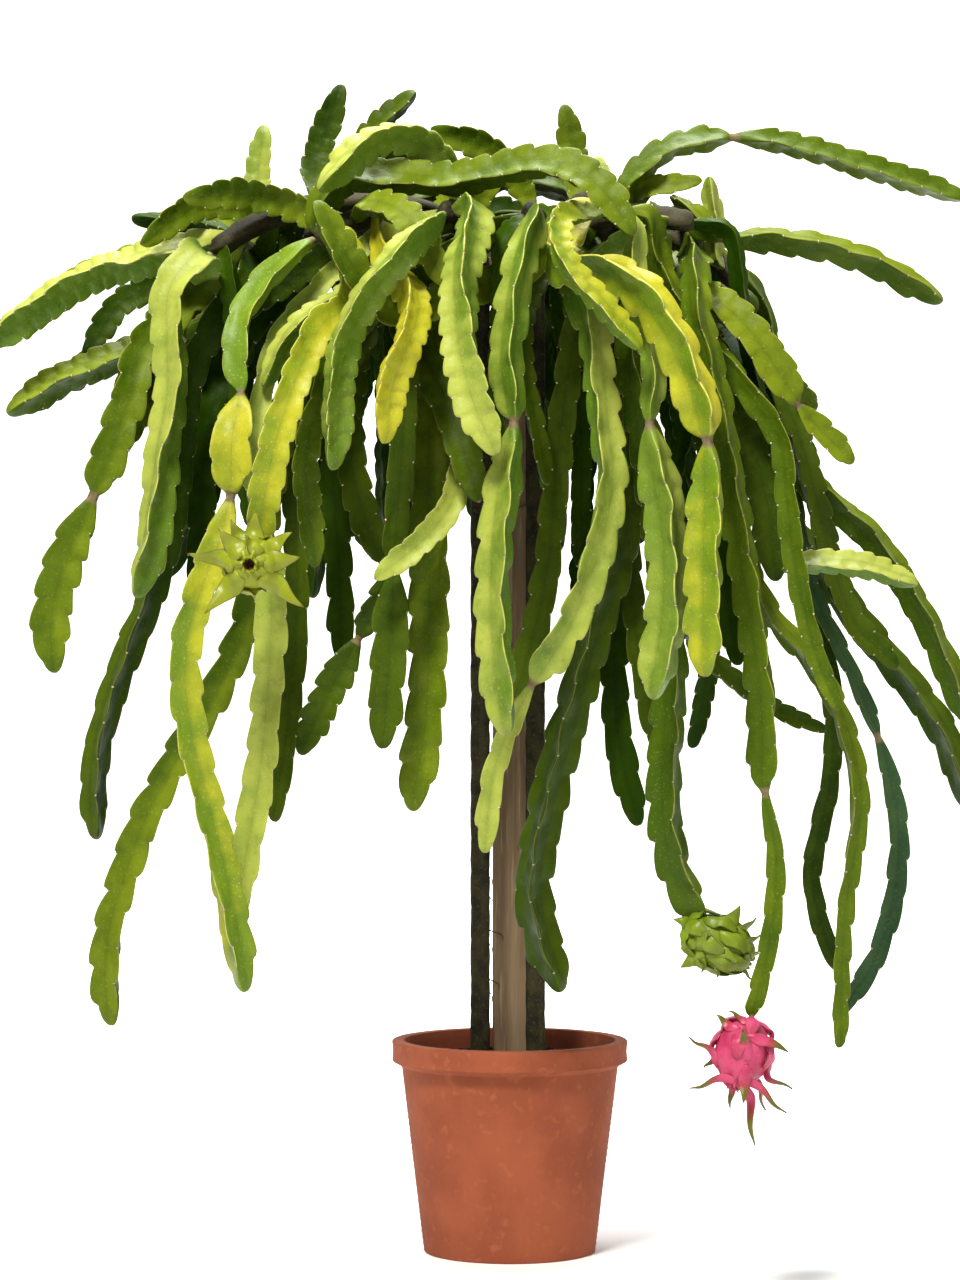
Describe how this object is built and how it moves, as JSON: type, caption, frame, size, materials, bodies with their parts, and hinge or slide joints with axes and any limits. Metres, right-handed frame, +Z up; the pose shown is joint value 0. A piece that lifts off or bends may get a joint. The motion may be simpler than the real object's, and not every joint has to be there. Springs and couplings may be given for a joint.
{
  "type": "potted dragon fruit cactus",
  "caption": "Red dragon fruit cactus on a wooden post in a clay pot, with a crown of long arching three-winged stems and scaly fruits at stem tips.",
  "frame": {"origin": "middle of the pot's flat underside, on the floor", "axes": "+Z up along the post, -Y towards the viewer of the picture, +X to the viewer's right"},
  "size_m": [1.7449, 1.1856, 2.022],
  "materials": {
    "pot_clay": "unglazed terracotta, matte, slightly mottled",
    "soil": "moist dark potting soil, rough and matte",
    "post_wood": "weathered bare wood with grain, matte",
    "stem_sun": "sun-bleached yellow-green waxy skin, satin, pale corky margins",
    "stem_lime": "yellow-green waxy skin, satin, pale margins",
    "stem_leaf": "mid green waxy skin, satin, pale margins",
    "stem_deep": "dark green waxy skin, satin, thin pale margins, brown woody old growth",
    "stem_blue": "blue-green waxy skin, satin",
    "fruit_red": "magenta pink waxy skin, satin, scales with green to brown tips",
    "fruit_green": "light green waxy skin, satin, scales with brown tips"
  },
  "bodies": {
    "root": {"pot": "pot_clay", "soil": "soil", "post": "post_wood", "arm_across": "post_wood", "arm_deep": "post_wood", "fruit_red": "fruit_red", "fruit_green_front": "fruit_green", "fruit_green_low": "fruit_green", "plant_front": "stem_deep", "plant_right": "stem_deep", "plant_back": "stem_deep", "plant_left": "stem_deep", "top_1": "stem_leaf", "top_4": "stem_leaf", "top_7": "stem_lime", "top_8": "stem_leaf", "top_10": "stem_leaf", "top_13": "stem_leaf", "top_15": "stem_leaf", "top_16": "stem_leaf", "top_17": "stem_lime", "left_1": "stem_lime", "left_2": "stem_lime", "left_3": "stem_leaf", "left_5": "stem_leaf", "left_7": "stem_deep", "left_11": "stem_lime", "left_12": "stem_sun", "left_13": "stem_lime", "left_14": "stem_leaf", "front_1": "stem_sun", "front_2": "stem_leaf", "front_3": "stem_lime", "front_4": "stem_sun", "front_5": "stem_deep", "front_11": "stem_leaf", "front_12": "stem_lime", "front_13": "stem_lime", "front_14": "stem_sun", "front_15": "stem_sun", "front_16": "stem_lime", "front_18": "stem_deep", "front_20": "stem_lime", "front_21": "stem_leaf", "front_22": "stem_leaf", "right_1": "stem_leaf", "right_2": "stem_leaf", "right_3": "stem_deep", "right_4": "stem_deep", "right_5": "stem_leaf", "right_6": "stem_deep", "right_8": "stem_leaf", "right_9": "stem_deep", "right_10": "stem_blue"}
  },
  "joints": []
}
